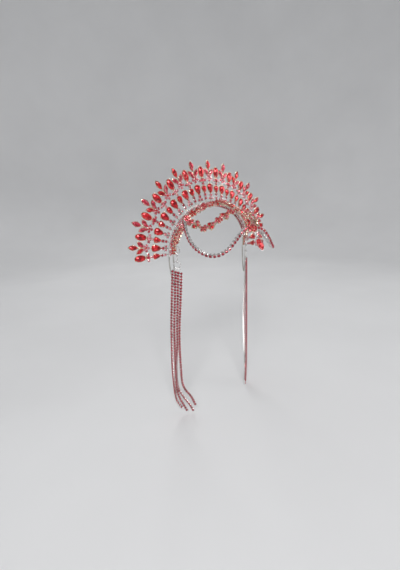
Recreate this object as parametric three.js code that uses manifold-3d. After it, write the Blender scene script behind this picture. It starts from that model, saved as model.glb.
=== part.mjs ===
// A bridal crown: a fan of jewelled rays on an arched band, a garland in front of it, a strip of
// stones down to a forehead cluster with a drop, flower chains and swags at each side, and a
// stone tassel at each temple. Millimetres, +Z up, the wearer faces -Y and the wearer's left is +X.
// The origin is midway between the two ends of the band.

import * as THREE from 'three';
import { mergeVertices } from 'three/addons/utils/BufferGeometryUtils.js';
import Module from 'manifold-3d';

const wasm = await Module();
wasm.setup();

// Driving dimensions of the crown

const GAP = 0.3;                 // clearance between pieces that touch

const bandHalfWidth = 76;        // middle of the band, from the centre plane to each end
const bandHeight = 67.7;         // middle of the band, from its ends up to its top
const bandTilt = 4.2;            // degrees that the band and the rays lean forward together
const bandWidth = 8.6;           // both rows of stones, across the arch
const bandWeb = 2.4;             // thickness of the metal between and behind the rows
const bandShoulder = 2.4;        // thickness at the sides of a row
const bandRow = 3.6;             // thickness through the stones of a row

const rayCount = 27;
const raySpread = 184;           // degrees from the first ray to the last
const bandOverhang = 1.8;        // degrees that the band goes on past the first and last rays
const trefoilReach = 65;         // from the middle of the band to the tip of an even ray
const ovalReach = 56.6;          // from the middle of the band to the tip of an odd ray
const sideLean = 5.5;            // degrees that the lowest rays lean back from the band's plane
const topLean = 11.7;            // degrees that the middle ray leans back
const stemWidth = 1.9;
const stemSunk = 0.5;            // how far the middle of a ray's wire lies behind the girdles

const garlandInset = 1;           // how far its ends stand inside the middle of the band
const garlandRise = 1.7;          // how far its top stands above the middle of the band
const garlandForward = 20.8;     // how far the middle of the garland stands in front
const garlandEndForward = 5.2;   // how far its ends stand in front
const garlandBow = 0.83;         // exponent of its forward bow
const garlandLead = 12.8;        // degrees along the arch from the band's end to the garland's
const wireDiameter = 1.8;        // wire that carries the flowers and leaves

const junctionAngle = 43;        // degrees along the garland where chains and swags hang on
const junctionSize = 11;
const junctionLift = 2.7;        // how far a junction stands off the garland's wire

const stripWidth = 9.5;
const stripThickness = 1.6;
const stripRowCount = 6;
const stripStoneLift = 1.1;      // how far its stones stand off the middle of the strip
const stripAhead = 3.2;           // start of the strip, ahead of and above the garland's top
const stripAbove = 0.8;
const stripMiddle = { forward: 61, up: 58.5 };

const clusterForward = 89;       // forehead cluster, its middle
const clusterUp = 33.6;
const clusterWide = 20;
const clusterTall = 15;
const clusterSlope = 47;         // degrees that the cluster lies down from level
const clusterPetalCount = 8;
const clusterPearLift = 0.6;

const dropForward = 105.2;       // forehead drop, its middle
const dropUp = 12.5;
const dropLength = 18;
const dropWidth = 12;
const dropDepth = 5.2;
const dropRim = 0.9;             // metal that stands out round the stone
const dropSlope = 59;            // degrees that the drop lies down from level, along the forehead
const eyeRadius = 1.9;           // ring at the upper end of the drop, middle of the wire
const eyeWire = 1.1;
const bailWire = 1.2;
const bailWide = 4;

const chainWire = 1.5;           // wire of the flower chains
const chainFlower = 9.5;
const chainStationCount = 7;         // flowers and leaf pairs by turns, a flower first
const chainLead = 0.75;          // wire before the first and after the last, as shares of their pitch
const chainTail = 0.65;
const swagDiameter = 4.2;

const endClusterPitch = 3.9;     // cluster of stones at each end of the band, between its stones
const endClusterRowCount = 4;
const endClusterInward = 1.5;    // middle of the cluster from the end of the garland's wire
const endClusterBack = 3;
const endClusterDown = 5.9;
const endClusterTurn = 38;       // degrees that it is turned out from the front

const hookReach = 5.2;           // middle of the wire above and below the middle of the hook
const hookAside = 3.4;           // and to each side of it
const hookWire = 1.3;
const hookStart = 115;           // degrees round the hook where its loop starts, and how far it goes
const hookSweep = 290;
const hookInward = 5;            // middle of the hook from the end of the band
const hookForward = 9.1;
const hookUp = 7.5;
const hookTurn = 40;             // degrees that the hook, ring and tassel are turned out from the front
const hangLean = 4.1;            // degrees that what hangs on the hook leans out and back
const linkLength = 16;           // outside
const linkWidth = 4.8;
const linkWire = 1.1;
const tasselRingRadius = 5.3;
const tasselRingWire = 1.3;
const hangGap = 0.8;             // clearance where one wire hangs in another

const tasselStrandWidth = 3.8;
const tasselPitch = 4.1;         // between the tops of its strands
const tasselLength = 243;
const tasselHeadHeight = 4;
const tasselHeadDepth = 2.4;

const hairLoopDrop = 46;         // length of the wire loop under each end of the band
const hairLoopWire = 1.4;
const hairLoopForward = 0.6;

const headForward = 25;          // middle of the head that the crown is worn on, for the facing of stones
const headUp = -15;

// How a stone and its setting are cut: the back's and the table's size as shares of the girdle's

const settingBack = 0.86;
const stoneTable = 0.56;
const girdleHeight = 0.2;

// Stones: outline, length, width, how far the setting reaches behind the girdle, and the table's height

const STONES = {
  tipMarquise: { outline: 'marquise', sides: 6, length: 13.5, width: 6.2, back: 1.5, rise: 2.3 },
  sideMarquise: { outline: 'marquise', sides: 6, length: 11.5, width: 5.4, back: 1.4, rise: 2.1 },
  petal: { outline: 'round', sides: 6, length: 4.7, width: 4.7, back: 1.3, rise: 1.7 },
  flower: { outline: 'flower', sides: 8, length: 10.4, width: 10.4, back: 1.3, rise: 1.9 },
  bigPear: { outline: 'pear', sides: 8, length: 14.5, width: 9.6, back: 1.8, rise: 3.2 },
  pear: { outline: 'pear', sides: 8, length: 10.8, width: 7.8, back: 1.6, rise: 2.7 },
  oval: { outline: 'oval', sides: 8, length: 16.5, width: 9.6, back: 1.8, rise: 3.1 },
  bead: { outline: 'round', sides: 6, length: 5.6, width: 5.6, back: 1.4, rise: 2.0 },
  leaves: { outline: 'leaves', sides: 8, length: 13, width: 13, back: 1.2, rise: 1.7 },
};

// What stands on a ray: stone, its middle measured inward from the tip, its distance to the side
// as a share of the stone's own width, and its turn in degrees. A side stone is made on both sides.

const TREFOIL = [
  { stone: 'tipMarquise', inward: 6.75, aside: 0, turn: 0 },
  { stone: 'sideMarquise', inward: 17.2, aside: 0.87, turn: 38 },
  { stone: 'flower', inward: 25.4, aside: 0, turn: 0 },
  { stone: 'bigPear', inward: 41.4, aside: 0, turn: 0 },
];

const OVAL = [
  { stone: 'oval', inward: 8.25, aside: 0, turn: 0 },
  { stone: 'bead', inward: 20.6, aside: 0, turn: 0 },
  { stone: 'pear', inward: 33.6, aside: 0, turn: 0 },
];

// What the garland carries, by its place along the arch, the same on both sides

const GARLAND = [
  { degrees: 18, kind: 'leaves' },
  { degrees: 25, kind: 'leaves' },
  { degrees: 32, kind: 'leaves' },
  { degrees: 53, kind: 'flower' },
  { degrees: 61, kind: 'leaves' },
  { degrees: 69, kind: 'flower' },
  { degrees: 77, kind: 'leaves' },
  { degrees: 90, kind: 'flower' },
];

// Routes of the flower chain and of the swag at one side, chosen by hand: how far out from the
// centre plane as a share of the band's half width, forward as a share of the forehead cluster's
// place, and up as a share of the band's height. The chain runs from the strip to the junction, and
// the swag from the cluster to the junction; both ends are worked out from what they hang on.

const CHAIN_ROUTE = [
  { out: 0.263, forward: 0.713, up: 0.775 },
  { out: 0.408, forward: 0.702, up: 0.709 },
  { out: 0.566, forward: 0.64, up: 0.576 },
  { out: 0.664, forward: 0.539, up: 0.51 },
  { out: 0.75, forward: 0.365, up: 0.618 },
];

const SWAG_ROUTE = [
  { out: 0.276, forward: 1.022, up: 0.436 },
  { out: 0.408, forward: 1.022, up: 0.303 },
  { out: 0.559, forward: 0.989, up: 0.126 },
  { out: 0.697, forward: 0.921, up: 0.03 },
  { out: 0.809, forward: 0.82, up: 0.018 },
  { out: 0.901, forward: 0.685, up: 0.096 },
  { out: 0.941, forward: 0.528, up: 0.244 },
  { out: 0.914, forward: 0.382, up: 0.436 },
];

// Where the chain and the swag of a side meet the junction's rim: direction along the garland's
// wire, towards its top, and aside from it

const CHAIN_SEAT = { along: -1, aside: 1 };
const SWAG_SEAT = { along: -1, aside: -0.2 };

// The bail's loop: how far down it, and how far aside, as shares of its length and half its width

const BAIL_LOOP = [
  { share: 1, aside: 0 },
  { share: 0.85, aside: 0.8 },
  { share: 0.4, aside: 1 },
  { share: 0.05, aside: 0.7 },
  { share: 0, aside: 0 },
  { share: 0.05, aside: -0.7 },
  { share: 0.4, aside: -1 },
  { share: 0.85, aside: -0.8 },
];

// The link's loop: shares of half its width and half its length

const LINK_LOOP = [
  { across: 0, up: 1 },
  { across: 0.72, up: 0.86 },
  { across: 1, up: 0.35 },
  { across: 1, up: -0.35 },
  { across: 0.72, up: -0.86 },
  { across: 0, up: -1 },
  { across: -0.72, up: -0.86 },
  { across: -1, up: -0.35 },
  { across: -1, up: 0.35 },
  { across: -0.72, up: 0.86 },
];

// The hair loop: how far down it, aside as a share of half the band's width, and forward as a share
// of hairLoopForward

const HAIR_LOOP = [
  { down: 0, aside: 1, forward: -0.6 },
  { down: 0.3, aside: 1, forward: -0.6 },
  { down: 0.85, aside: 0.1, forward: 0.8 },
  { down: 1, aside: -0.39, forward: 1 },
  { down: 0.85, aside: -0.8, forward: 0.8 },
  { down: 0.3, aside: -1, forward: -0.6 },
  { down: 0, aside: -1, forward: -0.6 },
];

// Where the hook's wire starts over the end cluster, as shares of the pitch of its stones

const HOOK_LEAD = { up: 0.4, aside: 0.5 };

// The band's section: rise above its back, and across it as a share of half its width

const BAND_PROFILE = [
  { rise: 0, across: -1 },
  { rise: bandShoulder, across: -1 },
  { rise: bandRow, across: -0.55 },
  { rise: bandWeb, across: -0.05 },
  { rise: bandRow, across: 0.5 },
  { rise: bandShoulder, across: 1 },
  { rise: 0, across: 1 },
];

// The drop's stone and rim, how far each reaches behind and before the middle, as shares of the depth

const DROP_STONE = { back: 0.45, rise: 0.5 };
const DROP_RIM = { back: 0.5, rise: 0.25 };

// Tassel strands, from the outer one to the one nearest the face: length as a share of the longest,
// place across the tassel at each level as a share of the pitch, and how far behind the others it
// hangs halfway down, as a share too. A level is a share of the strand's own length.

const STRAND_LEVELS = [0, 0.193, 0.374, 0.502, 0.683, 0.827, 0.877, 0.914, 0.947, 1];

const STRANDS = [
  { length: 0.975, across: [-1.5, -2.38, -3.16, -3.47, -3.77, -3.53, -3.35, -3.05, -2.61, -0.8], behind: 0 },
  { length: 1, across: [-0.5, -1.32, -2.15, -2.41, -2.63, -2.54, -2, -1.27, -0.32, 1.17], behind: 0 },
  { length: 1, across: [0.5, -0.29, -1.12, -1.46, -2.41, -2.02, -0.63, 0.73, 2.2, 3.8], behind: 1.1 },
  { length: 0.955, across: [1.5, 0.8, -0.1, -0.48, -0.54, -0.17, 0.88, 2.44, 3.46, 4.66], behind: 0 },
];

// The two halves that a closed loop of wire is made of, as stretches of its length

const LOOP_HALVES = [
  { from: -0.26, to: 0.26 },
  { from: 0.24, to: 0.76 },
];

// How finely the curved pieces are cut: flats round a wire, and steps along it

const TUBES = {
  garland: { sideCount: 4, stepCount: 16 },
  chain: { sideCount: 4, stepCount: 10 },
  swag: { sideCount: 8, stepCount: 14 },
  hook: { sideCount: 5, stepCount: 14 },
  halfLoop: { sideCount: 4, stepCount: 9 },
  hairLoop: { sideCount: 5, stepCount: 16 },
  strand: { sideCount: 5, stepCount: 8 },
  ring: { sideCount: 6, stepCount: 12 },
  eye: { sideCount: 5, stepCount: 10 },
};

const bandStepCount = 30;
const stripStepCount = 7;
const hookStepCount = 9;
const stemSideCount = 3;
const dropSideCount = 10;

// Materials

const metalGold = { color: 0xb08a4a, roughness: 0.3, metalness: 0.9 };
const metalSilver = { color: 0xc6c6c8, roughness: 0.22, metalness: 1 };
const stoneRed = { color: 0xb4101c, roughness: 0.12, metalness: 0.3 };
const stonePink = { color: 0xc23a48, roughness: 0.15, metalness: 0.3 };

// Solids: joining and cutting closed meshes

function toSolid(geometry, matrix) {
  const bare = geometry.clone();
  bare.deleteAttribute('normal');
  bare.deleteAttribute('uv');
  if (matrix) bare.applyMatrix4(matrix);
  const merged = mergeVertices(bare, 1e-4);
  const vertProperties = new Float32Array(merged.attributes.position.array);
  const triVerts = new Uint32Array(merged.index.array);
  return new wasm.Manifold(new wasm.Mesh({ numProp: 3, vertProperties, triVerts }));
}

function toGeometry(solid) {
  const mesh = solid.getMesh();
  const geometry = new THREE.BufferGeometry();
  geometry.setAttribute('position', new THREE.BufferAttribute(new Float32Array(mesh.vertProperties), 3));
  geometry.setIndex(new THREE.BufferAttribute(new Uint32Array(mesh.triVerts), 1));
  geometry.computeVertexNormals();
  return geometry;
}

function joined(solids) {
  return solids.reduce((whole, piece) => whole.add(piece));
}

function radians(degrees) {
  return THREE.MathUtils.degToRad(degrees);
}

// A right-handed frame: along, aside and face, with face the way that the stones look

function frameAt(point, along, face) {
  const u = along.clone().normalize();
  const w = face.clone().addScaledVector(u, -face.dot(u)).normalize();
  const v = w.clone().cross(u);
  return new THREE.Matrix4().makeBasis(u, v, w).setPosition(point);
}

// A cut stone in its setting: a base behind, the girdle, and a crown of facets round a table.
// It lies in the local X-Y plane with its length along X, and looks along +Z.

function outlinePoint(kind, angle, length, width) {
  const along = Math.cos(angle);
  const across = Math.sin(angle);
  const bulge = {
    round: 1,
    oval: 1,
    marquise: Math.abs(across) ** 0.45,
    pear: 1 + 0.42 * along - 0.08 * across ** 2,
  }[kind] ?? 1;
  const lobe = {
    flower: 0.86 - 0.14 * Math.cos(4 * angle),
    leaves: 0.36 + 0.34 * along + 0.3 * Math.cos(4 * (angle - Math.PI / 4)) * (0.5 + 0.5 * along),
  }[kind] ?? 1;
  return new THREE.Vector2((length / 2) * along * lobe, (width / 2) * across * bulge * lobe);
}

function stoneGeometry({ outline, sides, length, width, back, rise }) {
  const rings = [
    { scale: settingBack, height: -back },
    { scale: 1, height: girdleHeight },
    { scale: stoneTable, height: rise },
  ];
  const positions = [];
  for (const { scale, height } of rings) {
    for (let i = 0; i < sides; i += 1) {
      const p = outlinePoint(outline, (i / sides) * 2 * Math.PI, length, width);
      positions.push(p.x * scale, p.y * scale, height);
    }
  }
  const faces = [];
  for (let i = 1; i < sides - 1; i += 1) {
    faces.push(0, i + 1, i);
    const table = 2 * sides;
    faces.push(table, table + i, table + i + 1);
  }
  for (let ring = 0; ring < 2; ring += 1) {
    for (let i = 0; i < sides; i += 1) {
      const a = ring * sides + i;
      const b = ring * sides + ((i + 1) % sides);
      faces.push(a, b, b + sides, a, b + sides, a + sides);
    }
  }
  const geometry = new THREE.BufferGeometry();
  geometry.setAttribute('position', new THREE.Float32BufferAttribute(positions, 3));
  geometry.setIndex(faces);
  return geometry;
}

function stoneSolid(name, frame, x = 0, y = 0, turn = 0, lift = 0) {
  const place = new THREE.Matrix4().makeRotationZ(radians(turn)).setPosition(x, y, lift);
  return toSolid(stoneGeometry(STONES[name]), frame.clone().multiply(place));
}

// A closed tube along a route

function tubeSolid(route, diameter, { sideCount, stepCount }) {
  const section = new THREE.Shape();
  for (let i = 0; i < sideCount; i += 1) {
    const angle = (i / sideCount) * 2 * Math.PI;
    const x = (diameter / 2) * Math.cos(angle);
    const y = (diameter / 2) * Math.sin(angle);
    if (i === 0) section.moveTo(x, y);
    else section.lineTo(x, y);
  }
  section.closePath();
  const extrudePath = route instanceof THREE.Curve ? route : new THREE.CatmullRomCurve3(route);
  const options = { steps: stepCount, extrudePath, bevelEnabled: false };
  const geometry = new THREE.ExtrudeGeometry(section, options);
  return toSolid(geometry);
}

// A closed loop of wire: two open tubes that run into each other

class Stretch extends THREE.Curve {
  constructor(loop, from, to) {
    super();
    this.loop = loop;
    this.from = from;
    this.to = to;
  }

  getPoint(t) {
    const along = this.from + (this.to - this.from) * t;
    return this.loop.getPoint(along - Math.floor(along));
  }
}

function loopSolid(points, wire) {
  const loop = new THREE.CatmullRomCurve3(points, true);
  return joined(LOOP_HALVES.map(({ from, to }) => {
    return tubeSolid(new Stretch(loop, from, to), wire, TUBES.halfLoop);
  }));
}

function ringSolid(radius, wire, { sideCount, stepCount }, matrix) {
  const profile = [];
  for (let i = 0; i <= sideCount; i += 1) {
    const angle = (i / sideCount) * 2 * Math.PI;
    profile.push(new THREE.Vector2(radius + (wire / 2) * Math.cos(angle), (wire / 2) * Math.sin(angle)));
  }
  return toSolid(new THREE.LatheGeometry(profile, stepCount), matrix);
}

// Points of the worn frame

function placed(out, forward, up, side = 1) {
  return new THREE.Vector3(out * side, -forward, up);
}

function awayFromHead(point) {
  return new THREE.Vector3(point.x, point.y + headForward, point.z - headUp).normalize();
}

function ellipseArch(a, b, angle) {
  return new THREE.Vector3(-a * Math.cos(angle), 0, b * Math.sin(angle));
}

// The band: a web under two raised rows, with a cluster of stones in front of each end

const bandStart = radians((180 - raySpread) / 2 - bandOverhang);

class ArchCurve extends THREE.Curve {
  getPoint(t) {
    return ellipseArch(bandHalfWidth, bandHeight, bandStart + (Math.PI - 2 * bandStart) * t);
  }
}

function bandEnd(side) {
  const end = ellipseArch(bandHalfWidth, bandHeight, bandStart);
  return placed(-end.x, 0, end.z, side);
}

function bandSolid() {
  const back = -bandWeb / 2;
  const profile = BAND_PROFILE.map(({ rise, across }) => {
    return new THREE.Vector2(back + rise, (across * bandWidth) / 2);
  });
  const options = { steps: bandStepCount, extrudePath: new ArchCurve(), bevelEnabled: false };
  const arch = toSolid(new THREE.ExtrudeGeometry(new THREE.Shape(profile), options));
  return joined([arch, endCluster(1), endCluster(-1)]);
}

// A place given from the end of the band: inward, forward and up

function fromBandEnd(inward, forward, up, side) {
  return bandEnd(side).add(placed(-inward, forward, up, side));
}

function endClusterFrame(side) {
  const face = placed(Math.sin(radians(endClusterTurn)), Math.cos(radians(endClusterTurn)), 0, side);
  const end = garlandPoint(garlandStart);
  const middle = placed(-end.x - endClusterInward, -end.y - endClusterBack, end.z - endClusterDown, side);
  return frameAt(middle, new THREE.Vector3(0, 0, 1), face);
}

function endCluster(side) {
  const frame = endClusterFrame(side);
  const stones = [];
  for (let row = 0; row < endClusterRowCount; row += 1) {
    for (const column of [-0.5, 0.5]) {
      const up = (row - (endClusterRowCount - 1) / 2) * endClusterPitch;
      stones.push(stoneSolid('petal', frame, up, column * endClusterPitch));
    }
  }
  return joined(stones);
}

// The rays, in the band's own plane

function rayFrame(index) {
  const start = (180 - raySpread) / 2;
  const angle = radians(start + (index * raySpread) / (rayCount - 1));
  const point = ellipseArch(bandHalfWidth, bandHeight, angle);
  const outward = new THREE.Vector3(-bandHeight * Math.cos(angle), 0, bandHalfWidth * Math.sin(angle));
  outward.normalize();
  const lean = radians(sideLean + (topLean - sideLean) * Math.max(0, Math.sin(angle)));
  const along = outward.multiplyScalar(Math.cos(lean)).add(new THREE.Vector3(0, Math.sin(lean), 0));
  return frameAt(point, along, new THREE.Vector3(0, -1, 0));
}

function raySolid(table, reach) {
  const flat = new THREE.Matrix4();
  const start = bandWidth / 2 + GAP;
  const end = reach - STONES[table[0].stone].length / 2;
  const stem = new THREE.CylinderGeometry(stemWidth / 2, stemWidth / 2, end - start, stemSideCount);
  stem.rotateZ(-Math.PI / 2);
  stem.translate((start + end) / 2, 0, -stemSunk);
  const pieces = [toSolid(stem)];
  for (const { stone, inward, aside, turn } of table) {
    const shift = aside * STONES[stone].width;
    for (const side of shift === 0 ? [1] : [-1, 1]) {
      pieces.push(stoneSolid(stone, flat, reach - inward, side * shift, side * turn));
    }
  }
  return joined(pieces);
}

// Flowers and leaves on a wire

function flowerSolid(frame, size) {
  const scale = size / STONES.flower.length;
  return stoneSolid('flower', frame.clone().scale(new THREE.Vector3(scale, scale, 1)));
}

const garlandStart = bandStart + radians(garlandLead);

function garlandPoint(angle) {
  const flat = ellipseArch(bandHalfWidth - garlandInset, bandHeight + garlandRise, angle);
  const span = Math.PI - 2 * garlandStart;
  const bow = Math.sin(((angle - garlandStart) / span) * Math.PI) ** garlandBow;
  return flat.setY(-garlandEndForward - (garlandForward - garlandEndForward) * bow);
}

class GarlandCurve extends THREE.Curve {
  getPoint(t) {
    const share = THREE.MathUtils.clamp(t, 0, 1);
    return garlandPoint(garlandStart + (Math.PI - 2 * garlandStart) * share);
  }
}

function garlandFrame(degrees) {
  const side = degrees < 90 ? 1 : -1;
  const point = garlandPoint(radians(degrees));
  const ahead = garlandPoint(radians(degrees + side));
  const face = awayFromHead(point).add(new THREE.Vector3(0, -1, 0));
  return frameAt(point, ahead.sub(point), face);
}

function garlandSolid() {
  const pieces = [tubeSolid(new GarlandCurve(), wireDiameter, TUBES.garland)];
  for (const { degrees, kind } of GARLAND) {
    for (const angle of degrees === 90 ? [90] : [degrees, 180 - degrees]) {
      pieces.push(stoneSolid(kind, garlandFrame(angle)));
    }
  }
  return joined(pieces);
}

// Junctions where the chain and the swag of a side hang on the garland

function junctionFrame(side) {
  const degrees = side < 0 ? junctionAngle : 180 - junctionAngle;
  const frame = garlandFrame(degrees);
  const face = new THREE.Vector3().setFromMatrixColumn(frame, 2);
  const point = new THREE.Vector3().setFromMatrixPosition(frame).addScaledVector(face, junctionLift);
  return frame.setPosition(point);
}

// The strip from the garland down to the forehead, in the centre plane

function stripCurve() {
  const start = placed(0, garlandForward + stripAhead, bandHeight + garlandRise + stripAbove);
  const middle = placed(0, stripMiddle.forward, stripMiddle.up);
  const rim = clusterReach.along + STONES.bead.length / 2 + GAP;
  const end = new THREE.Vector3(-rim, 0, 0).applyMatrix4(clusterFrame());
  const pull = middle.clone().multiplyScalar(2).addScaledVector(start, -0.5).addScaledVector(end, -0.5);
  return new THREE.QuadraticBezierCurve3(start, pull, end);
}

function stripSolid() {
  const curve = stripCurve();
  const half = stripThickness / 2;
  const over = [];
  const under = [];
  for (let i = 0; i <= stripStepCount; i += 1) {
    const { y, z } = curve.getPointAt(i / stripStepCount);
    const tangent = curve.getTangentAt(i / stripStepCount);
    over.push(new THREE.Vector2(y - tangent.z * half, z + tangent.y * half));
    under.unshift(new THREE.Vector2(y + tangent.z * half, z - tangent.y * half));
  }
  const outline = new THREE.Shape([...over, ...under]);
  const ribbon = new THREE.ExtrudeGeometry(outline, { depth: stripWidth, bevelEnabled: false });
  ribbon.translate(0, 0, -stripWidth / 2);
  const turn = new THREE.Matrix4().makeBasis(
    new THREE.Vector3(0, 1, 0), new THREE.Vector3(0, 0, 1), new THREE.Vector3(1, 0, 0),
  );
  const pieces = [toSolid(ribbon, turn)];
  for (let row = 0; row < stripRowCount; row += 1) {
    const t = (row + 0.5) / stripRowCount;
    const point = curve.getPointAt(t);
    const frame = frameAt(point, curve.getTangentAt(t), awayFromHead(point));
    const aside = (stripWidth - STONES.petal.width) / 2;
    pieces.push(stoneSolid('petal', frame, 0, aside, 0, stripStoneLift));
    pieces.push(stoneSolid('petal', frame, 0, -aside, 0, stripStoneLift));
  }
  return joined(pieces);
}

// The forehead cluster: round stones round a pear, and the drop that a bail hangs under it

function foreheadFrame(forward, up, slope) {
  const along = new THREE.Vector3(0, -Math.cos(radians(slope)), -Math.sin(radians(slope)));
  const face = new THREE.Vector3(0, -Math.sin(radians(slope)), Math.cos(radians(slope)));
  return frameAt(placed(0, forward, up), along, face);
}

function clusterFrame() {
  return foreheadFrame(clusterForward, clusterUp, clusterSlope);
}

function dropFrame() {
  return foreheadFrame(dropForward, dropUp, dropSlope);
}

const clusterReach = {
  along: (clusterTall - STONES.bead.length) / 2,
  aside: (clusterWide - STONES.bead.length) / 2,
};

function clusterSolid() {
  const frame = clusterFrame();
  const pieces = [stoneSolid('bigPear', frame, 0, 0, 180, clusterPearLift)];
  for (let i = 0; i < clusterPetalCount; i += 1) {
    const degrees = (i / clusterPetalCount) * 360;
    const x = clusterReach.along * Math.cos(radians(degrees));
    const y = clusterReach.aside * Math.sin(radians(degrees));
    pieces.push(stoneSolid('bead', frame, x, y, degrees));
  }
  return joined(pieces);
}

const eyePlace = -(dropLength / 2 + dropRim + eyeRadius);

function dropSolid() {
  const frame = dropFrame();
  const cut = (length, width, { back, rise }) => toSolid(stoneGeometry({
    outline: 'oval', sides: dropSideCount, length, width, back: back * dropDepth, rise: rise * dropDepth,
  }), frame);
  const eye = frame.clone().multiply(new THREE.Matrix4().setPosition(eyePlace, 0, 0));
  return joined([
    cut(dropLength, dropWidth, DROP_STONE),
    cut(dropLength + 2 * dropRim, dropWidth + 2 * dropRim, DROP_RIM),
    ringSolid(eyeRadius, eyeWire, TUBES.eye, eye),
  ]);
}

// The bail: a loop of wire through the drop's eye, up to just under the cluster

function bailSolid() {
  const seat = eyePlace - (eyeRadius - eyeWire / 2 - bailWire / 2 - GAP);
  const low = new THREE.Vector3(seat, 0, 0).applyMatrix4(dropFrame());
  const reach = clusterReach.along + STONES.bead.length / 2 + GAP + bailWire / 2;
  const high = new THREE.Vector3(reach, 0, 0).applyMatrix4(clusterFrame());
  const loop = BAIL_LOOP.map(({ share, aside }) => {
    return high.clone().lerp(low, share).setX((aside * bailWide) / 2);
  });
  return loopSolid(loop, bailWire);
}

// The chain of flowers and the swag of one side

function sideRoute(start, route, end, side) {
  const middle = route.map(({ out, forward, up }) => {
    return placed(out * bandHalfWidth, forward * clusterForward, up * bandHeight, side);
  });
  return new THREE.CatmullRomCurve3([start, ...middle, end]);
}

function junctionRim(side, { along, aside }, reach) {
  const share = (junctionSize / 2 + GAP + reach) / Math.hypot(along, aside);
  return new THREE.Vector3(along * share, side * aside * share, 0).applyMatrix4(junctionFrame(side));
}

function flowerChainSolid(side) {
  const start = placed(stripWidth / 2 + GAP, stripMiddle.forward, stripMiddle.up, side);
  const curve = sideRoute(start, CHAIN_ROUTE, junctionRim(side, CHAIN_SEAT, chainWire / 4), side);
  const pieces = [tubeSolid(curve, chainWire, TUBES.chain)];
  for (let i = 0; i < chainStationCount; i += 1) {
    const t = (i + chainLead) / (chainStationCount - 1 + chainLead + chainTail);
    const point = curve.getPointAt(t);
    const frame = frameAt(point, curve.getTangentAt(t), awayFromHead(point));
    pieces.push(i % 2 === 0 ? flowerSolid(frame, chainFlower) : stoneSolid('leaves', frame));
  }
  return joined(pieces);
}

function swagSolid(side) {
  const aside = clusterReach.aside + STONES.bead.length / 2 + GAP;
  const start = new THREE.Vector3(0, side * aside, 0).applyMatrix4(clusterFrame());
  const end = junctionRim(side, SWAG_SEAT, swagDiameter / 16);
  return tubeSolid(sideRoute(start, SWAG_ROUTE, end, side), swagDiameter, TUBES.swag);
}

// Hook, link, ring and tassel of one side, one hanging in the other, and how far the middle of each
// is below the middle of the hook

const linkReach = (linkLength - linkWire) / 2;
const linkDown = hookReach + linkReach - (hookWire + linkWire) / 2 - hangGap;
const ringDown = linkDown + linkReach + tasselRingRadius - (linkWire + tasselRingWire) / 2 - hangGap;
const tasselDown = ringDown + tasselRingRadius + tasselRingWire / 2 + GAP;

function sideTurn(degrees, side) {
  return new THREE.Matrix4().makeRotationZ(radians(degrees) * side);
}

function hookMiddle(side) {
  return fromBandEnd(hookInward, hookForward, hookUp, side);
}

function hookSolid(side) {
  const middle = hookMiddle(side);
  const across = outwardAt(side).negate();
  const up = new THREE.Vector3(0, 0, 1);
  const lift = STONES.petal.rise + hangGap + hookWire / 2;
  const lead = new THREE.Vector3(HOOK_LEAD.up, side * HOOK_LEAD.aside, 0).multiplyScalar(endClusterPitch);
  const points = [lead.setZ(lift).applyMatrix4(endClusterFrame(side))];
  for (let i = 0; i <= hookStepCount; i += 1) {
    const angle = radians(hookStart - (i / hookStepCount) * hookSweep);
    points.push(middle.clone()
      .addScaledVector(across, hookAside * Math.cos(angle))
      .addScaledVector(up, hookReach * Math.sin(angle)));
  }
  return tubeSolid(points, hookWire, TUBES.hook);
}

function outwardAt(side) {
  return placed(Math.cos(radians(hookTurn)), -Math.sin(radians(hookTurn)), 0, side);
}

function hangingFrame(down, turn, side) {
  const place = hookMiddle(side).add(new THREE.Vector3(0, 0, -down));
  place.addScaledVector(outwardAt(side), down * Math.tan(radians(hangLean)));
  return sideTurn(turn, side).setPosition(place);
}

function linkSolid(side) {
  const frame = hangingFrame(linkDown, hookTurn + 90, side);
  const wide = (linkWidth - linkWire) / 2;
  const lean = outwardAt(side).multiplyScalar(-linkReach * Math.tan(radians(hangLean)));
  const points = LINK_LOOP.map(({ across, up }) => {
    const point = new THREE.Vector3(across * wide, 0, up * linkReach).applyMatrix4(frame);
    return point.addScaledVector(lean, up);
  });
  return loopSolid(points, linkWire);
}

function tasselRingSolid(side) {
  const frame = hangingFrame(ringDown, hookTurn, side);
  return ringSolid(tasselRingRadius, tasselRingWire, TUBES.ring, frame);
}

function tasselSolid(side) {
  const width = (STRANDS.length - 1) * tasselPitch + tasselStrandWidth;
  const place = hangingFrame(tasselDown, hookTurn, side);
  const head = new THREE.BoxGeometry(width, tasselHeadDepth, tasselHeadHeight);
  head.translate(0, 0, -tasselHeadHeight / 2);
  const pieces = [toSolid(head, place)];
  for (const { length, across, behind } of STRANDS) {
    const route = STRAND_LEVELS.map((level, i) => {
      const down = Math.max(level * length * tasselLength, tasselHeadHeight / 2);
      const depth = behind * Math.sin(level * Math.PI);
      return new THREE.Vector3(-side * across[i], depth, 0).multiplyScalar(tasselPitch)
        .setZ(-down).applyMatrix4(place);
    });
    pieces.push(tubeSolid(route, tasselStrandWidth, TUBES.strand));
  }
  return joined(pieces);
}

// The wire loop under each end of the band, for fastening to the hair

function hairLoopSolid(side) {
  const edge = bandWidth / 2 - hairLoopWire / 2;
  const below = GAP + bandRow * Math.sin(radians(bandTilt));
  const route = HAIR_LOOP.map(({ down, aside, forward }) => {
    const drop = below + down * hairLoopDrop;
    return fromBandEnd(-aside * edge, forward * hairLoopForward, -drop, side);
  });
  return tubeSolid(route, hairLoopWire, TUBES.hairLoop);
}

// The whole crown

const crown = new THREE.Group();
const crownPlane = new THREE.Group();
crownPlane.rotation.x = radians(bandTilt);
crown.add(crownPlane);

function addPiece(parent, name, solid, finish) {
  const mesh = new THREE.Mesh(toGeometry(solid), new THREE.MeshStandardMaterial(finish));
  mesh.name = name;
  parent.add(mesh);
  return mesh;
}

addPiece(crownPlane, 'crown_band', bandSolid(), stoneRed);

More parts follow.
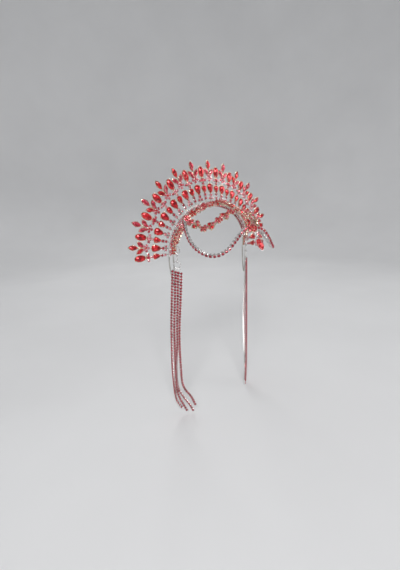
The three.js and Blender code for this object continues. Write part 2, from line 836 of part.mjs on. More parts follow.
const trefoil = raySolid(TREFOIL, trefoilReach);
const oval = raySolid(OVAL, ovalReach);
for (let index = 0; index < rayCount; index += 1) {
  const label = String(index + 1).padStart(2, '0');
  const even = index % 2 === 1;
  const ray = addPiece(crownPlane, `ray_${label}`, even ? trefoil : oval, stoneRed);
  const frame = rayFrame(index);
  ray.position.setFromMatrixPosition(frame);
  ray.quaternion.setFromRotationMatrix(frame);
}

addPiece(crown, 'front_garland', garlandSolid(), stonePink);
addPiece(crown, 'centre_strip', stripSolid(), stonePink);
addPiece(crown, 'forehead_cluster', clusterSolid(), stoneRed);
addPiece(crown, 'drop_bail', bailSolid(), metalSilver);
addPiece(crown, 'forehead_drop', dropSolid(), stoneRed);

for (const { name, side } of [{ name: 'right', side: -1 }, { name: 'left', side: 1 }]) {
  addPiece(crown, `junction_${name}`, flowerSolid(junctionFrame(side), junctionSize), stoneRed);
  addPiece(crown, `flower_chain_${name}`, flowerChainSolid(side), stonePink);
  addPiece(crown, `swag_${name}`, swagSolid(side), metalSilver);
  addPiece(crown, `hook_${name}`, hookSolid(side), metalSilver);
  addPiece(crown, `link_${name}`, linkSolid(side), metalSilver);
  addPiece(crown, `tassel_ring_${name}`, tasselRingSolid(side), metalSilver);
  addPiece(crown, `tassel_${name}`, tasselSolid(side), stoneRed);
  addPiece(crown, `hair_loop_${name}`, hairLoopSolid(side), metalGold);
}

export default crown;
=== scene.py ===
# The look of the bridal crown: every stone, setting, claw and wire as its own form, built round the
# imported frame. Sizes are in millimetres up to the mesh, and +Z is up, -Y the wearer's front and +X
# the wearer's left, as in the frame.

import math
import random

import bpy
from mathutils import Matrix, Vector


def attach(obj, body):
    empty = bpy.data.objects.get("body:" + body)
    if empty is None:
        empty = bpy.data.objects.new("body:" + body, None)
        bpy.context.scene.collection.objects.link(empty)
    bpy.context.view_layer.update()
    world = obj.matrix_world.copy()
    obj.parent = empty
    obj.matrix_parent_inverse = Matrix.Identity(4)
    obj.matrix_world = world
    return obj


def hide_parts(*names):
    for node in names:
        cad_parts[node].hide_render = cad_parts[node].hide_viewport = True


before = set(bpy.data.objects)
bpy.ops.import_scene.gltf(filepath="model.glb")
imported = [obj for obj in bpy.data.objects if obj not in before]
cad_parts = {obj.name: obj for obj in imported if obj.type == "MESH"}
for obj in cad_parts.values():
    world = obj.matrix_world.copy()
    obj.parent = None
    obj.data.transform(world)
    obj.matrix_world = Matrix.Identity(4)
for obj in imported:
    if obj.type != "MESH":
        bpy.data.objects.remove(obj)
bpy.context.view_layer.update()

MM = 0.001               # a millimetre in metres
SIDES = (("right", -1), ("left", 1))

# The crown's own sizes, as in the part's source

BAND_HALF_WIDTH = 76.0
BAND_HEIGHT = 67.7
BAND_TILT = 4.2
BAND_ROW = 2.15          # each row of stones from the middle of the band
BAND_THICKNESS = 3.6     # through the stones of a row
RAY_COUNT = 27
RAY_SPREAD = 184.0
BAND_OVERHANG = 1.8
TREFOIL_REACH = 65.0
OVAL_REACH = 56.6
SIDE_LEAN = 5.5
TOP_LEAN = 11.7
GARLAND_HALF_WIDTH = 75.0
GARLAND_HEIGHT = 69.4
GARLAND_FORWARD = 20.8
GARLAND_END_FORWARD = 5.2
GARLAND_BOW = 0.83
GARLAND_LEAD = 12.8
JUNCTION_ANGLE = 43
JUNCTION_LIFT = 2.7
STRIP_WIDTH = 9.5
STRIP_START = (24.0, 70.2)
STRIP_MIDDLE = (61.0, 58.5)
CLUSTER_PLACE = (89.0, 33.6, 47)
CLUSTER_REACH = (4.7, 7.2)
DROP_PLACE = (105.2, 12.5, 59)
DROP_SIZE = (18.0, 12.0, 5.2)
EYE_RADIUS = 1.9
END_CLUSTER = (72.58, 2.2, 4.96)
END_CLUSTER_TURN = 38
END_CLUSTER_PITCH = 3.9
HOOK_MIDDLE = (70.83, 9.1, 3.01)
HOOK_REACH = 5.2
HOOK_ASIDE = 3.4
HOOK_TURN = 40
HANG_LEAN = 4.1
LINK_REACH = 7.45
LINK_DOWN = 10.65
RING_RADIUS = 5.3
RING_DOWN = 21.4
TASSEL_DOWN = 27.65
TASSEL_PITCH = 4.1
TASSEL_LENGTH = 243.0
TASSEL_STAGGER = 1.2       # how much lower each strand starts than the one before it
HAIR_LOOP_DROP = 46.0

CHAIN_ROUTE = (
    (20, 63.5, 52.5), (31, 62.5, 48), (43, 57, 39), (50.5, 48, 34.5), (57, 32.5, 41.8),
)
SWAG_ROUTE = (
    (21, 91, 29.5), (31, 91, 20.5), (42.5, 88, 8.5), (53, 82, 2),
    (61.5, 73, 1.2), (68.5, 61, 6.5), (71.5, 47, 16.5), (69.5, 34, 29.5),
)
STRAND_LEVELS = (0, 0.193, 0.374, 0.502, 0.683, 0.827, 0.877, 0.914, 0.947, 1)
STRANDS = (   # length, places across at the levels, how far behind halfway down, and twist
    (0.975, (-1.5, -2.38, -3.16, -3.47, -3.77, -3.53, -3.35, -3.05, -2.61, -0.8), 0, 20),
    (1, (-0.5, -1.32, -2.15, -2.41, -2.63, -2.54, -2, -1.27, -0.32, 1.17), 0, -6),
    (1, (0.5, -0.29, -1.12, -1.46, -2.41, -2.02, -0.63, 0.73, 2.2, 3.8), 1.1, 8),
    (0.955, (1.5, 0.8, -0.1, -0.48, -0.54, -0.17, 0.88, 2.44, 3.46, 4.66), 0, -22),
)
BAND_START = math.radians((180 - RAY_SPREAD) / 2 - BAND_OVERHANG)
GARLAND_START = BAND_START + math.radians(GARLAND_LEAD)


# Materials

STONE_CLOUD = 700
CLOUD_SHARE = 0.22       # how much the cloud adds to each facet's painted light and shade
STONE_ROUGHNESS = (0.03, 0.14)
STONE_IOR = 1.6
COAT_ROUGHNESS = 0.02
METAL_CLOUD = 420
SCRATCH_SCALE = 3800
SCRATCH_STRENGTH = 0.08
SCRATCH_DEPTH = 0.0001


def shader(name):
    mat = bpy.data.materials.new(name)
    mat.use_nodes = True
    nodes = mat.node_tree.nodes
    return mat, nodes, mat.node_tree.links, nodes["Principled BSDF"]


def ramp_of(nodes, stops):
    ramp = nodes.new("ShaderNodeValToRGB")
    for _ in range(len(stops) - 2):
        ramp.color_ramp.elements.new(0.5)
    for element, (place, colour) in zip(ramp.color_ramp.elements, stops):
        element.position = place
        element.color = (*colour, 1)
    return ramp


def noise_of(nodes, links, scale, detail=3.0):
    place = nodes.new("ShaderNodeTexCoord")
    noise = nodes.new("ShaderNodeTexNoise")
    noise.inputs["Scale"].default_value = scale
    noise.inputs["Detail"].default_value = detail
    links.new(place.outputs["Object"], noise.inputs["Vector"])
    return noise


def spread(nodes, links, source, low, high, target):
    scale = nodes.new("ShaderNodeMapRange")
    scale.inputs["To Min"].default_value = low
    scale.inputs["To Max"].default_value = high
    links.new(source, scale.inputs["Value"])
    links.new(scale.outputs["Result"], target)


def stone_material(name, stops, metallic, coat):
    """Foil-backed glass under a clear polished surface: each facet's painted light and shade picks its
    colour from the ramp, from painted shade at the dark end to a painted highlight at the pale end.
    """
    mat, nodes, links, bsdf = shader(name)
    # The facet attribute holds each facet's painted light and shade, from gem().
    facet = nodes.new("ShaderNodeAttribute")
    facet.attribute_name = "facet"
    cloud = noise_of(nodes, links, STONE_CLOUD)
    mix = nodes.new("ShaderNodeMath")
    mix.operation = "MULTIPLY_ADD"
    mix.inputs[1].default_value = CLOUD_SHARE
    links.new(cloud.outputs["Fac"], mix.inputs[0])
    links.new(facet.outputs["Fac"], mix.inputs[2])
    ramp = ramp_of(nodes, stops)
    links.new(mix.outputs[0], ramp.inputs["Fac"])
    links.new(ramp.outputs["Color"], bsdf.inputs["Base Color"])
    spread(nodes, links, cloud.outputs["Fac"], *STONE_ROUGHNESS, bsdf.inputs["Roughness"])
    bsdf.inputs["Metallic"].default_value = metallic
    bsdf.inputs["IOR"].default_value = STONE_IOR
    bsdf.inputs["Coat Weight"].default_value = coat
    bsdf.inputs["Coat Roughness"].default_value = COAT_ROUGHNESS
    return mat


def metal_material(name, light, dark, rough):
    """Polished plated wire and cups, with slight clouding, tarnish in places and fine scratches."""
    mat, nodes, links, bsdf = shader(name)
    cloud = noise_of(nodes, links, METAL_CLOUD, 5)
    ramp = ramp_of(nodes, ((0.3, dark), (0.6, light)))
    links.new(cloud.outputs["Fac"], ramp.inputs["Fac"])
    links.new(ramp.outputs["Color"], bsdf.inputs["Base Color"])
    spread(nodes, links, cloud.outputs["Fac"], rough * 0.6, rough * 1.6, bsdf.inputs["Roughness"])
    fine = noise_of(nodes, links, SCRATCH_SCALE, 2)
    bump = nodes.new("ShaderNodeBump")
    bump.inputs["Strength"].default_value = SCRATCH_STRENGTH
    bump.inputs["Distance"].default_value = SCRATCH_DEPTH
    links.new(fine.outputs["Fac"], bump.inputs["Height"])
    links.new(bump.outputs["Normal"], bsdf.inputs["Normal"])
    bsdf.inputs["Metallic"].default_value = 1
    return mat


RED, PINK, DARK, BLUSH, CLEAR, GOLD, SILVER, WIRE = range(8)
# Each stone ramp runs from painted shade at its dark end, through the stone's own colour, to a painted
# highlight at its pale end.
MATERIALS = (
    stone_material("red_stone", (
        (0.0, (0.03, 0.0, 0.002)), (0.35, (0.23, 0.001, 0.006)), (0.68, (0.66, 0.003, 0.013)),
        (0.92, (0.95, 0.04, 0.05)), (1.0, (1.0, 0.42, 0.38))), 0.45, 0.3),
    stone_material("pink_stone", (
        (0.0, (0.05, 0.001, 0.005)), (0.35, (0.3, 0.004, 0.017)), (0.68, (0.63, 0.03, 0.068)),
        (0.9, (0.88, 0.19, 0.25)), (1.0, (1.0, 0.7, 0.68))), 0.45, 0.3),
    stone_material("dark_red_stone", (
        (0.0, (0.03, 0.0, 0.003)), (0.4, (0.2, 0.001, 0.009)), (0.72, (0.46, 0.004, 0.022)),
        (0.92, (0.8, 0.08, 0.13)), (1.0, (1.0, 0.6, 0.6))), 0.45, 0.3),
    stone_material("blush_stone", (
        (0.0, (0.12, 0.006, 0.016)), (0.3, (0.42, 0.045, 0.08)), (0.6, (0.71, 0.2, 0.25)),
        (0.85, (0.94, 0.5, 0.52)), (1.0, (1.0, 0.93, 0.9))), 0.4, 0.4),
    stone_material("clear_stone", (
        (0.0, (0.24, 0.1, 0.1)), (0.35, (0.52, 0.38, 0.37)), (0.7, (0.84, 0.76, 0.74)),
        (1.0, (1.0, 0.97, 0.95))), 0.5, 0.5),
    metal_material("champagne_metal", (0.86, 0.75, 0.58), (0.4, 0.3, 0.19), 0.2),
    metal_material("silver_metal", (0.9, 0.89, 0.88), (0.42, 0.41, 0.4), 0.2),
    metal_material("pale_wire", (0.6, 0.59, 0.55), (0.4, 0.38, 0.35), 0.32),
)


# Mesh building

class Build:
    """One piece: vertices, faces, the material of each face and the painted light and shade of each facet.
    """

    def __init__(self, seed):
        self.points, self.faces, self.mats, self.tones, self.smooth = [], [], [], [], []
        self.rng = random.Random(seed)

    def add(self, points, faces, mat, tones=None, smooth=False):
        start = len(self.points)
        self.points += points
        for i, face in enumerate(faces):
            self.faces.append([start + k for k in face])
            self.mats.append(mat)
            self.tones.append(tones[i] if tones else 0.5)
            self.smooth.append(smooth)

    def finish(self, name, *replaced, slot=None):
        mesh = bpy.data.meshes.new(name)
        mesh.from_pydata([Vector(p) * MM for p in self.points], [], self.faces)
        used = sorted(set(self.mats))
        for k in used:
            mesh.materials.append(MATERIALS[k])
        mesh.polygons.foreach_set("material_index", [used.index(k) for k in self.mats])
        mesh.polygons.foreach_set("use_smooth", self.smooth)
        # Each facet's painted light and shade, read by the stone ramps.
        tone = mesh.attributes.new("facet", "FLOAT", "FACE")
        tone.data.foreach_set("value", self.tones)
        mesh.validate()
        mesh.update()
        obj = bpy.data.objects.new(name, mesh)
        bpy.context.scene.collection.objects.link(obj)
        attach(obj, "root")
        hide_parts(*replaced)
        return obj


def frame_at(point, along, face):
    """A right-handed frame: along, aside and face, with face the way that the stones look."""
    u = Vector(along).normalized()
    w = Vector(face)
    w = (w - u * w.dot(u)).normalized()
    v = w.cross(u)
    return Matrix((
        (u.x, v.x, w.x, point[0]), (u.y, v.y, w.y, point[1]), (u.z, v.z, w.z, point[2]), (0, 0, 0, 1),
    ))


def placed_in(base, x=0.0, y=0.0, z=0.0, turn=0.0):
    return base @ Matrix.Translation((x, y, z)) @ Matrix.Rotation(math.radians(turn), 4, "Z")


def outline(kind, count, length, width):
    points = []
    for i in range(count):
        angle = 2 * math.pi * i / count
        along, across = math.cos(angle), math.sin(angle)
        bulge = 1.0
        if kind == "marquise":
            bulge = abs(across) ** 0.45
        elif kind == "pear":
            bulge = 1 + 0.42 * along - 0.08 * across ** 2
        points.append((length / 2 * along, width / 2 * across * bulge))
    return points


# A cut stone is a tuple: the kind of outline, its length and width, how far the table rises, how
# deep the pavilion goes, and how many facets go round it.

GIRDLE_SHARE, GIRDLE_BELOW, GIRDLE_ABOVE = 0.92, 0.3, 0.1
BREAK_SHARE, BREAK_RISE = 0.83, 0.62
TABLE_SHARE, TABLE_DOME = 0.56, 1.09
BODY_TONE = 0.07         # how much one stone's tone differs from the next
TABLE_PAINTED_LIGHT = 0.22        # how much the painted light on the table turns from its lit side to its shaded side
FACET_PAINTED_LIGHT = (          # the lowest and highest painted light of each kind of facet, from behind to the front: low for painted shade, high for painted highlights
    (0.15, 0.6), (0.1, 0.5), (0.2, 0.85), (0.3, 0.98), (0.1, 0.9), (0.15, 0.8), (0.22, 0.6),
)


def bead(size, rise, back, facets):
    return "round", size, size, rise, back, facets


def gem(build, base, cut, mat):
    """A cut stone: a pavilion to a point behind, the girdle, two tiers of facets and a table, each facet
    with its own painted light and shade.
    """
    kind, length, width, rise, deep, count = cut
    rim = outline(kind, count, length, width)
    half = [((a[0] + b[0]) / 2, (a[1] + b[1]) / 2) for a, b in zip(rim, rim[1:] + rim[:1])]
    tiers = (
        [(x * GIRDLE_SHARE, y * GIRDLE_SHARE, -GIRDLE_BELOW) for x, y in rim],
        [(x, y, GIRDLE_ABOVE * rise) for x, y in rim],
        [(x * BREAK_SHARE, y * BREAK_SHARE, BREAK_RISE * rise) for x, y in half],
        [(x * TABLE_SHARE, y * TABLE_SHARE, rise) for x, y in rim],
    )
    points = [tuple(base @ Vector(p)) for tier in tiers for p in tier]
    faces, tones = [], []
    rng = build.rng
    body = rng.uniform(-BODY_TONE, BODY_TONE)

    # shade is the side that the painted light comes from: the table's facets are painted lighter towards it
    # and darker away from it.
    shade = rng.uniform(0, 2 * math.pi)
    points += [tuple(base @ Vector((0, 0, rise * TABLE_DOME))), tuple(base @ Vector((0, 0, -deep)))]
    for i in range(count):
        j = (i + 1) % count
        lean = TABLE_PAINTED_LIGHT * math.cos(2 * math.pi * i / count - shade)
        facets = (
            (j, i, 4 * count + 1),
            (i, j, count + j, count + i),
            (count + i, count + j, 2 * count + i),
            (2 * count + i, count + j, 2 * count + j),
            (2 * count + i, 3 * count + j, 3 * count + i),
            (2 * count + i, 2 * count + j, 3 * count + j),
            (3 * count + i, 3 * count + j, 4 * count),
        )
        # Each facet gets painted light and shade: pavilion and girdle mostly darker as painted shade, crown
        # facets paler up to painted highlights.
        for corners, (low, high) in zip(facets, FACET_PAINTED_LIGHT):
            turn = lean if corners is facets[-1] else 0
            faces.append(corners)
            tones.append(min(1, max(0, body + rng.uniform(low + turn, high + turn))))
    build.add(points, faces, mat, tones)


CUP_DEPTH, CUP_SHARE = 0.9, 0.6   # how deep a setting goes at most, and as a share of its stone
CUP_FOOT = (-0.1, 0.25)           # how far the foot and the lip stand outside the girdle
CUP_LIP = ((0.35, 0.25), (-0.15, 0.28))


def cup(build, base, cut, metal):
    """The metal setting round a stone: an open ring, deeper than the girdle, with a lip."""
    kind, length, width, _, back, count = cut
    rim = outline(kind, count, length, width)
    low = -min(CUP_DEPTH, back * CUP_SHARE)
    points = []
    for grow, height in (*((wide, low) for wide in CUP_FOOT), *CUP_LIP):
        wide, tall = (length + 2 * grow) / length, (width + 2 * grow) / width
        points += [tuple(base @ Vector((x * wide, y * tall, height))) for x, y in rim]
    faces = []
    for tier in range(4):
        a, b = tier * count, (tier + 1) % 4 * count
        for i in range(count):
            j = (i + 1) % count
            faces.append((a + i, a + j, b + j, b + i))
    build.add(points, faces, metal)


CLAW_PATH = (   # outward, height, height for each mm of the stone's rise, and share of the width
    (0.15, -0.9, 0, 0.9), (0.2, 0.3, 0, 1.0), (-0.25, 0.3, 0.45, 0.95), (-0.8, 0.35, 0.6, 0.5),
)


def claw(build, base, x, y, rise, metal, size=0.5):
    """A claw: up the setting's wall, bent in over the girdle to a rounded tip."""
    out = Vector((x, y, 0)).normalized()
    side = Vector((-out.y, out.x, 0))
    foot = Vector((x, y, 0)) + out * 0.3
    points = []
    for outward, height, climb, share in CLAW_PATH:
        middle = foot + out * outward
        for a, b in ((1, 1), (-1, 1), (-1, -1), (1, -1)):
            p = middle + side * (a * size * share) + out * (b * size * 0.6 * share)
            points.append(tuple(base @ Vector((p.x, p.y, height + rise * climb))))
    faces = [(3, 2, 1, 0), (12, 13, 14, 15)]
    for tier in range(3):
        for i in range(4):
            j = (i + 1) % 4
            faces.append((tier * 4 + i, tier * 4 + j, tier * 4 + 4 + j, tier * 4 + 4 + i))
    build.add(points, faces, metal)


CLAW_ANGLES = {
    "round": (45, 135, 225, 315),
    "oval": (35, 145, 215, 325),
    "marquise": (0, 90, 180, 270),
    "pear": (50, 125, 180, 235, 310),
}


def set_stone(build, base, cut, mat, metal=GOLD, claws=True):
    kind, length, width, rise = cut[:4]
    gem(build, base, cut, mat)
    cup(build, base, cut, metal)
    if not claws:
        return
    fine = outline(kind, 360, length, width)
    for degrees in CLAW_ANGLES[kind]:
        claw(build, base, *fine[degrees], rise, metal)


SPAN_STEPS = 24


def smooth_route(points, steps, closed=False):
    """Points along a smooth curve through the given ones, evenly spread by length."""
    pts = [Vector(p) for p in points]
    n = len(pts)
    spans = n if closed else n - 1
    fine = []
    for s in range(spans):
        if closed:
            p0, p1, p2, p3 = (pts[(s + k) % n] for k in (-1, 0, 1, 2))
        else:
            p1, p2 = pts[s], pts[s + 1]
            p0 = pts[s - 1] if s > 0 else p1 * 2 - p2
            p3 = pts[s + 2] if s + 2 < n else p2 * 2 - p1
        d = [max(1e-6, (b - a).length) ** 0.5 for a, b in ((p0, p1), (p1, p2), (p2, p3))]
        t0, t1 = 0.0, d[0]
        t2, t3 = t1 + d[1], t1 + d[1] + d[2]
        for k in range(SPAN_STEPS):
            t = t1 + (t2 - t1) * k / SPAN_STEPS
            a1 = p0 * ((t1 - t) / (t1 - t0)) + p1 * ((t - t0) / (t1 - t0))
            a2 = p1 * ((t2 - t) / (t2 - t1)) + p2 * ((t - t1) / (t2 - t1))
            a3 = p2 * ((t3 - t) / (t3 - t2)) + p3 * ((t - t2) / (t3 - t2))
            b1 = a1 * ((t2 - t) / (t2 - t0)) + a2 * ((t - t0) / (t2 - t0))
            b2 = a2 * ((t3 - t) / (t3 - t1)) + a3 * ((t - t1) / (t3 - t1))
            fine.append(b1 * ((t2 - t) / (t2 - t1)) + b2 * ((t - t1) / (t2 - t1)))
    fine.append(pts[0] if closed else pts[-1])
    return resample(fine, steps)


def resample(fine, steps):
    lengths = [0.0]
    for a, b in zip(fine, fine[1:]):
        lengths.append(lengths[-1] + (b - a).length)
    out, k = [], 0
    for i in range(steps + 1):
        goal = lengths[-1] * i / steps
        while k < len(fine) - 2 and lengths[k + 1] < goal:
            k += 1
        span = lengths[k + 1] - lengths[k]
        share = (goal - lengths[k]) / span if span > 0 else 0
        out.append(fine[k].lerp(fine[k + 1], min(1, max(0, share))))
    return out


def route_length(points):
    return sum((b - a).length for a, b in zip(points, points[1:]))


def tube(build, points, radius, metal, sides=8, closed=False):
    """A round wire along points, with rounded ends unless it is closed."""
    pts = [Vector(p) for p in points]
    if closed:
        pts = pts[:-1]
    n = len(pts)
    tangents = []
    for i in range(n):
        a = pts[(i - 1) % n] if closed or i > 0 else pts[i]
        b = pts[(i + 1) % n] if closed or i < n - 1 else pts[i]
        tangents.append((b - a).normalized())
    normal = tangents[0].orthogonal().normalized()
    rings = []
    for i in range(n):
        normal = (normal - tangents[i] * normal.dot(tangents[i])).normalized()
        other = tangents[i].cross(normal)
        rings.append([pts[i] + normal * (radius * math.cos(a)) + other * (radius * math.sin(a))
                      for a in (2 * math.pi * k / sides for k in range(sides))])
    flat = [tuple(p) for ring in rings for p in ring]
    faces = []
    for i in range(n if closed else n - 1):
        a, b = i * sides, ((i + 1) % n) * sides
        shift = 0
        if closed and i == n - 1:
            gaps = [(rings[-1][0] - rings[0][s]).length for s in range(sides)]
            shift = gaps.index(min(gaps))
        for k in range(sides):
            j = (k + 1) % sides
            faces.append((a + k, a + j, b + (j + shift) % sides, b + (k + shift) % sides))
    if not closed:
        for end, ring, sign in ((0, 0, -1), (n - 1, (n - 1) * sides, 1)):
            tip = len(flat)
            flat.append(tuple(pts[end] + tangents[end] * (radius * 0.7 * sign)))
            for k in range(sides):
                j = (k + 1) % sides
                faces.append((ring + j, ring + k, tip) if sign < 0 else (ring + k, ring + j, tip))
    build.add(flat, faces, metal, smooth=True)


# Ornaments that several pieces share

PETAL_SHARE, HEART_SHARE = 0.4, 0.36   # of the flower's size
PETAL_LENGTH, PETAL_WIDTH = 1.12, 0.92
PETAL_RISE = 1.6
CHAIN_FACETS = 10
CHAIN_BEAD = 0.95        # the stone in a chain's cup, as a share of the cup
CHAIN_CLAW = 0.47        # its claws from the middle, as a share of the cup


def flower(build, base, size, mat, petals=5, metal=GOLD):
    """Round petals about a raised red stone."""
    petal = size * PETAL_SHARE
    cut = ("pear", petal * PETAL_LENGTH, petal * PETAL_WIDTH, PETAL_RISE, 1.2, 10)
    for i in range(petals):
        angle = 360 * i / petals
        reach = (size - petal) / 2
        x, y = reach * math.cos(math.radians(angle)), reach * math.sin(math.radians(angle))
        place = placed_in(base, x, y, 0, angle)
        set_stone(build, place, cut, mat, metal, claws=False)
        claw(build, place, petal * 0.5, 0, PETAL_RISE, metal, 0.36)
    heart = bead(size * HEART_SHARE, 1.7, 1.6, 10)
    set_stone(build, placed_in(base, 0, 0, 0.7), heart, RED, metal)


def sprig(build, base, mats):
    """Two leaf stones that part on either side of a bead, all close together."""
    rng = build.rng
    for side in (-1, 1):
        angle = side * rng.uniform(24, 40)
        size = rng.uniform(0.92, 1.08)
        leaf = placed_in(base, rng.uniform(0.9, 1.7), side * 2.35, rng.uniform(-0.4, 0.1), angle)
        set_stone(build, leaf, ("oval", 4.9 * size, 3.5 * size, 1.7, 1.2, 12), rng.choice(mats))
    middle = placed_in(base, rng.uniform(-1.6, -0.9), rng.uniform(-0.5, 0.5), 0.8)
    set_stone(build, middle, bead(3.5, 1.6, 1.4, 10), rng.choice(mats))


def cup_chain(build, points, faces_of, size, pitch, depth):
    """A chain of dark round stones in cups, with a link of wire between one and the next."""
    number = round(route_length(points) / pitch)
    stops = resample(points, number * 2)
    for i in range(number):
        middle = stops[2 * i + 1]
        along = stops[2 * i + 2] - stops[2 * i]
        base = frame_at(middle, along, faces_of(middle, along))
        stone = bead(size * CHAIN_BEAD, 1.5, 0.6, CHAIN_FACETS)
        gem(build, placed_in(base, 0, 0, depth * 0.38), stone, DARK)
        wall(build, base, size, depth)
        for degrees in CLAW_ANGLES["round"]:
            a = math.radians(degrees)
            x, y = size * CHAIN_CLAW * math.cos(a), size * CHAIN_CLAW * math.sin(a)
            claw(build, placed_in(base, 0, 0, depth * 0.35), x, y, 0.9, SILVER, 0.3)
        if i < number - 1:
            back = base.col[2].to_3d() * (-depth * 0.3)
            tube(build, [middle + back, stops[2 * i + 3] + back], 0.5, SILVER, 6)


def wall(build, base, size, depth):
    """The straight-sided cup of a chain stone."""
    count = CHAIN_FACETS
    tiers = ((0.4, -depth / 2), (0.5, -depth * 0.32), (0.5, depth * 0.42), (0.44, depth * 0.44))
    points = []
    for share, height in tiers:
        for i in range(count):
            a = 2 * math.pi * i / count
            across = Vector((size * share * math.cos(a), size * share * math.sin(a), height))
            points.append(tuple(base @ across))
    faces = [tuple(reversed(range(count))), tuple(3 * count + i for i in range(count))]
    for tier in range(3):
        for i in range(count):
            a, b = tier * count + i, tier * count + (i + 1) % count
            faces.append((a, b, b + count, a + count))
    build.add(points, faces, SILVER)


# Places in the worn frame

def placed(out, forward, up, side=1):
    return Vector((out * side, -forward, up))


def away_from_head(point):
    return Vector((point[0], point[1] + 25, point[2] + 15)).normalized()


def arch(a, b, angle):
    return Vector((-a * math.cos(angle), 0, b * math.sin(angle)))


CROWN_PLANE = Matrix.Rotation(math.radians(BAND_TILT), 4, "X")


def band_angle(i, steps):
    return BAND_START + (math.pi - 2 * BAND_START) * i / steps


def band_point(angle):
    return arch(BAND_HALF_WIDTH, BAND_HEIGHT, angle)


def band_outward(angle):
    return Vector((-BAND_HEIGHT * math.cos(angle), 0, BAND_HALF_WIDTH * math.sin(angle))).normalized()


def ray_frame(index):
    angle = math.radians((180 - RAY_SPREAD) / 2 + index * RAY_SPREAD / (RAY_COUNT - 1))
    outward = band_outward(angle)
    lean = math.radians(SIDE_LEAN + (TOP_LEAN - SIDE_LEAN) * max(0, math.sin(angle)))
    along = outward * math.cos(lean) + Vector((0, math.sin(lean), 0))
    return CROWN_PLANE @ frame_at(band_point(angle), along, (0, -1, 0))


def garland_point(angle):
    flat = arch(GARLAND_HALF_WIDTH, GARLAND_HEIGHT, angle)
    span = math.pi - 2 * GARLAND_START
    bow = max(0, math.sin((angle - GARLAND_START) / span * math.pi)) ** GARLAND_BOW
    flat.y = -GARLAND_END_FORWARD - (GARLAND_FORWARD - GARLAND_END_FORWARD) * bow
    return flat


def garland_frame(degrees, lift=0.0):
    step = 1 if degrees < 90 else -1
    point = garland_point(math.radians(degrees))
    ahead = garland_point(math.radians(degrees + step))
    face = away_from_head(point) + Vector((0, -1, 0))
    return placed_in(frame_at(point, ahead - point, face), 0, 0, lift)


def forehead_frame(forward, up, slope):
    s = math.radians(slope)
    return frame_at(placed(0, forward, up), (0, -math.cos(s), -math.sin(s)), (0, -math.sin(s), math.cos(s)))


# The rays

TIP = ("marquise", 13.6, 7.0, 2.6, 1.5, 16)
LEAF = ("marquise", 11.8, 6.2, 2.3, 1.4, 16)
LARGE_PEAR = ("pear", 14.8, 10.3, 3.4, 1.8, 20)
SMALL_PEAR = ("pear", 11.2, 8.4, 2.9, 1.6, 16)
LARGE_OVAL = ("oval", 16.4, 9.5, 3.2, 1.8, 20)
RAY_WIRE = 0.62
BRANCH_WIRE = 0.5


def trefoil_ray(build, base):
    """From the tip down: a marquise, two leaves on branches, a flower, a pear and three beads."""
    rng = build.rng
    set_stone(build, placed_in(base, TREFOIL_REACH - 6.75), TIP, RED if rng.random() < 0.6 else PINK)
    for side in (-1, 1):
        leaf = placed_in(base, TREFOIL_REACH - 17.2, side * 4.7, 0, side * 38)
        set_stone(build, leaf, LEAF, RED if rng.random() < 0.35 else PINK)
        branch = ((36, 0, -0.9), (40.5, side * 1.1, -1.0), (46, side * 3.4, -0.9))
        tube(build, smooth_route([base @ Vector(p) for p in branch], 5), BRANCH_WIRE, GOLD, 6)
    petals = BLUSH if rng.random() < 0.3 else PINK
    flower(build, placed_in(base, TREFOIL_REACH - 25.4, 0, 0, 36), 11.8, petals, metal=SILVER)
    set_stone(build, placed_in(base, TREFOIL_REACH - 41.4), LARGE_PEAR, RED)
    set_stone(build, placed_in(base, 13.3), bead(5.0, 2.0, 1.3, 12), rng.choice((PINK, RED, BLUSH)), SILVER)
    for side in (-1, 1):
        foot = placed_in(base, 8.6, side * 2.6, -0.1)
        set_stone(build, foot, bead(3.9, 1.6, 1.1, 10), rng.choice((BLUSH, PINK, BLUSH)), SILVER)
    tube(build, [base @ Vector((x, 0, -1.0)) for x in (4.4, 20, 38, 54)], RAY_WIRE, GOLD, 8)


def oval_ray(build, base):
    """From the tip down: an oval, a bead between two small ones, a bead, a pear and two beads."""
    rng = build.rng
    pale = (PINK, BLUSH)
    set_stone(build, placed_in(base, OVAL_REACH - 8.25), LARGE_OVAL, RED)
    set_stone(build, placed_in(base, OVAL_REACH - 20.3), bead(6.4, 2.3, 1.4, 12), rng.choice(pale))
    for side in (-1, 1):
        aside = placed_in(base, OVAL_REACH - 20.9, side * 4.6, -0.2)
        set_stone(build, aside, bead(4.2, 1.7, 1.0, 10), rng.choice(pale), SILVER)
    set_stone(build, placed_in(base, OVAL_REACH - 25.6), bead(4.2, 1.7, 1.1, 10), rng.choice(pale), SILVER)
    set_stone(build, placed_in(base, OVAL_REACH - 33.6), SMALL_PEAR, RED)
    set_stone(build, placed_in(base, 14.6), bead(4.6, 1.8, 1.2, 10), rng.choice((PINK, DARK)), SILVER)
    set_stone(build, placed_in(base, 9.6), bead(4.3, 1.7, 1.1, 10), rng.choice((BLUSH, PINK)), SILVER)
    tube(build, [base @ Vector((x, 0, -1.0)) for x in (4.4, 16, 30, 46)], RAY_WIRE, GOLD, 8)


for index in range(RAY_COUNT):
    label = f"{index + 1:02d}"
    build = Build(100 + index)
    (trefoil_ray if index % 2 else oval_ray)(build, ray_frame(index))
    build.finish(f"ray_{label}_jewels", f"ray_{label}", slot="red_stones")


# The band

BAND_SECTION = ((-3.7, -1.1), (3.7, -1.1), (3.7, -0.4), (0.5, -0.3), (-0.5, -0.3), (-3.7, -0.4))
BAND_STEPS = 90
BAND_PITCH = 3.95
BAND_FRONT = -0.9        # where the stones of the band are set
END_STONE = bead(4.0, 1.7, 1.3, 12)


